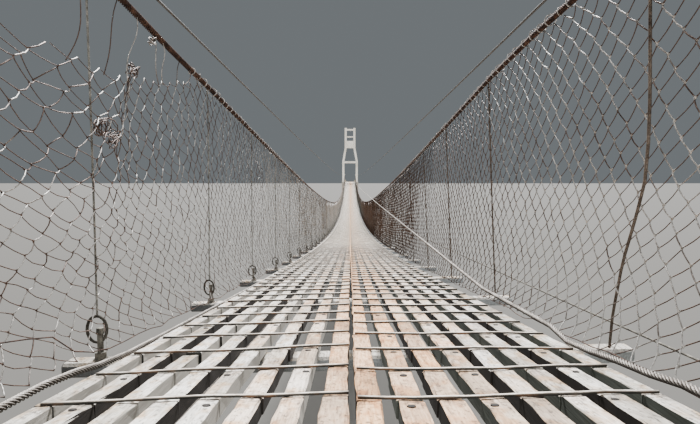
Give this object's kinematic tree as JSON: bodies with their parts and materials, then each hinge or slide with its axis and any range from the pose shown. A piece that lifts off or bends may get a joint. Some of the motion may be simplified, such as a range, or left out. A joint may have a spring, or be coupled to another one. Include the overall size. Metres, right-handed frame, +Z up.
{
  "type": "rope suspension footbridge, 1:2 scale model",
  "caption": "Rope suspension footbridge at half size: slatted timber deck on sagging wire ropes, net sides, and a concrete gate tower on an abutment at each end.",
  "frame": {"origin": "on the ground under the middle of the span, at the centre of the bridge's width", "axes": "+Y along the bridge from the near gate to the far gate, +Z up, +X to the right when looking along +Y"},
  "size_m": [1.12, 39, 5.673],
  "materials": {
    "concrete": "weathered cream concrete",
    "timber": "weathered pale grey boards",
    "net_wire": "galvanised wire with rust",
    "rusty_steel": "rusty steel",
    "wire_rope": "weathered twisted wire rope"
  },
  "bodies": {
    "root": {"near_abutment": "concrete", "far_abutment": "concrete", "near_left_post": "concrete", "near_right_post": "concrete", "far_left_post": "concrete", "far_right_post": "concrete", "near_left_anchor_block": "concrete", "near_right_anchor_block": "concrete", "far_left_anchor_block": "concrete", "far_right_anchor_block": "concrete", "near_lintel": "concrete", "far_lintel": "concrete", "near_name_panel": "concrete", "far_name_panel": "concrete", "near_upper_beam": "concrete", "far_upper_beam": "concrete", "near_top_beam": "concrete", "far_top_beam": "concrete", "deck_section_1": "timber", "deck_section_2": "timber", "deck_section_3": "timber", "deck_section_4": "timber", "deck_section_5": "timber", "deck_section_6": "timber", "left_net_panel_1": "net_wire", "left_net_panel_2": "net_wire", "left_net_panel_3": "net_wire", "left_net_panel_4": "net_wire", "left_net_panel_5": "net_wire", "left_net_panel_6": "net_wire", "right_net_panel_1": "net_wire", "right_net_panel_2": "net_wire", "right_net_panel_3": "net_wire", "right_net_panel_4": "net_wire", "right_net_panel_5": "net_wire", "right_net_panel_6": "net_wire", "left_hand_cable": "rusty_steel", "right_hand_cable": "rusty_steel", "left_bearing_rope": "wire_rope", "right_bearing_rope": "wire_rope", "left_edge_rope": "wire_rope", "right_edge_rope": "wire_rope", "left_upper_wire": "net_wire", "right_upper_wire": "net_wire", "right_guard_rope": "wire_rope"}
  },
  "joints": []
}
